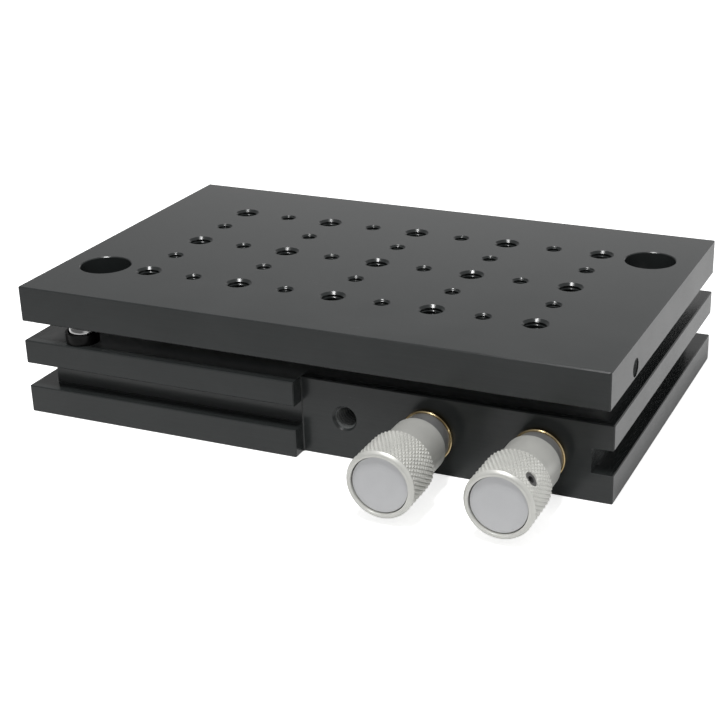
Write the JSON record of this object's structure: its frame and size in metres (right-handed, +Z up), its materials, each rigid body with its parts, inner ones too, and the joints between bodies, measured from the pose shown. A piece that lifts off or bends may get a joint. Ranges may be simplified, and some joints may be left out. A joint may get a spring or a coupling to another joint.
{
  "type": "multi-axis tilt stage",
  "caption": "Kinematic tilt stage: a tapped plate rests on three balls above a slotted base, and two side knobs tilt it in pitch and roll.",
  "frame": {"origin": "centre of the base's underside", "axes": "+X along the length, away from the pivot ball; knobs on the -Y side; +Z up out of the tapped plate"},
  "size_m": [0.1474, 0.1141, 0.0327],
  "materials": {
    "black_anodised": "satin black anodised, fine bead-blasted grain",
    "clear_anodised": "satin clear anodised, knurled grip",
    "bronze": "turned",
    "steel": "ground",
    "hardened_steel": "ground",
    "ball_steel": "polished",
    "spring_steel": "drawn wire",
    "black_oxide_steel": "black oxide"
  },
  "bodies": {
    "base": {"base_block": "black_anodised", "base_pivot_seat": "black_oxide_steel", "roll_guide_bush": "bronze", "pitch_guide_bush": "bronze", "pitch_bushing": "bronze", "roll_bushing": "bronze", "pitch_collar": "steel", "roll_collar": "steel", "beam_pivot_pin": "steel", "channel_cover": "black_anodised", "cover_screws": "black_oxide_steel", "lower_spring_pins": "steel", "right_hold_down_spring": "spring_steel", "left_hold_down_spring": "spring_steel"},
    "pitch_rod": {"pitch_push_rod": "steel"},
    "pitch_adjuster": {"pitch_knob": "clear_anodised", "pitch_knob_cap": "clear_anodised", "pitch_knob_set_screw": "black_oxide_steel", "pitch_fine_screw": "steel"},
    "rocker": {"rocker_beam": "steel", "beam_contact_ball": "ball_steel"},
    "pitch_lifter": {"pitch_plunger": "steel", "pitch_contact_ball": "ball_steel"},
    "roll_rod": {"roll_push_cone": "steel"},
    "roll_adjuster": {"roll_knob": "clear_anodised", "roll_knob_cap": "clear_anodised", "roll_knob_set_screw": "black_oxide_steel", "roll_fine_screw": "steel"},
    "roll_lifter": {"roll_plunger": "steel", "roll_contact_ball": "ball_steel"},
    "pivot": {"pivot_ball": "ball_steel"},
    "platform": {"top_plate": "black_anodised", "plate_pivot_seat": "hardened_steel", "plate_groove_seat": "hardened_steel", "plate_flat_seat": "hardened_steel", "upper_spring_pins": "steel"}
  },
  "joints": [
    {"name": "pitch_rod_slide", "type": "slide", "parent": "base", "child": "pitch_rod", "axis": [0, 1, 0], "range_m": [-0.00126, 0.00126]},
    {"name": "pitch_knob_turn", "type": "hinge", "parent": "pitch_rod", "child": "pitch_adjuster", "pos_m": [0.0307, -0.06, 0.00945], "axis": [0, 1, 0], "range_deg": [-900, 900]},
    {"name": "rocker_tilt", "type": "hinge", "parent": "base", "child": "rocker", "pos_m": [-0.01465, 0.033, 0.005], "axis": [0, 1, 0], "range_deg": [-1.59, 1.59]},
    {"name": "pitch_lifter_slide", "type": "slide", "parent": "base", "child": "pitch_lifter", "axis": [0, 0, 1], "range_m": [-0.00126, 0.00126]},
    {"name": "pitch_tilt", "type": "hinge", "parent": "base", "child": "pivot", "pos_m": [-0.06, -0.0409, 0.02135], "axis": [0.9901, 0.1401, 0], "range_deg": [-0.98, 0.98], "deforming": ["left_hold_down_spring"]},
    {"name": "roll_rod_slide", "type": "slide", "parent": "base", "child": "roll_rod", "axis": [0, 1, 0], "range_m": [-0.00126, 0.00126]},
    {"name": "roll_knob_turn", "type": "hinge", "parent": "roll_rod", "child": "roll_adjuster", "pos_m": [0.057, -0.06, 0.00945], "axis": [0, 1, 0], "range_deg": [-900, 900]},
    {"name": "roll_lifter_slide", "type": "slide", "parent": "base", "child": "roll_lifter", "axis": [0, 0, 1], "range_m": [-0.00126, 0.00126]},
    {"name": "roll_tilt", "type": "hinge", "parent": "pivot", "child": "platform", "pos_m": [-0.06, -0.0409, 0.02135], "axis": [0, -1, 0], "range_deg": [-0.62, 0.62], "deforming": ["right_hold_down_spring"]}
  ],
  "couplings": [
    {"joint": "pitch_rod_slide", "follows": "pitch_knob_turn", "m_per_rad": 0.000079577},
    {"joint": "rocker_tilt", "follows": "pitch_knob_turn", "ratio": 0.0017547},
    {"joint": "pitch_lifter_slide", "follows": "pitch_knob_turn", "m_per_rad": 0.000079577},
    {"joint": "pitch_tilt", "follows": "pitch_knob_turn", "ratio": 0.0010876},
    {"joint": "roll_rod_slide", "follows": "roll_knob_turn", "m_per_rad": 0.000079577},
    {"joint": "roll_lifter_slide", "follows": "roll_knob_turn", "m_per_rad": 0.000079577},
    {"joint": "roll_tilt", "follows": "roll_knob_turn", "ratio": 0.00068015}
  ]
}
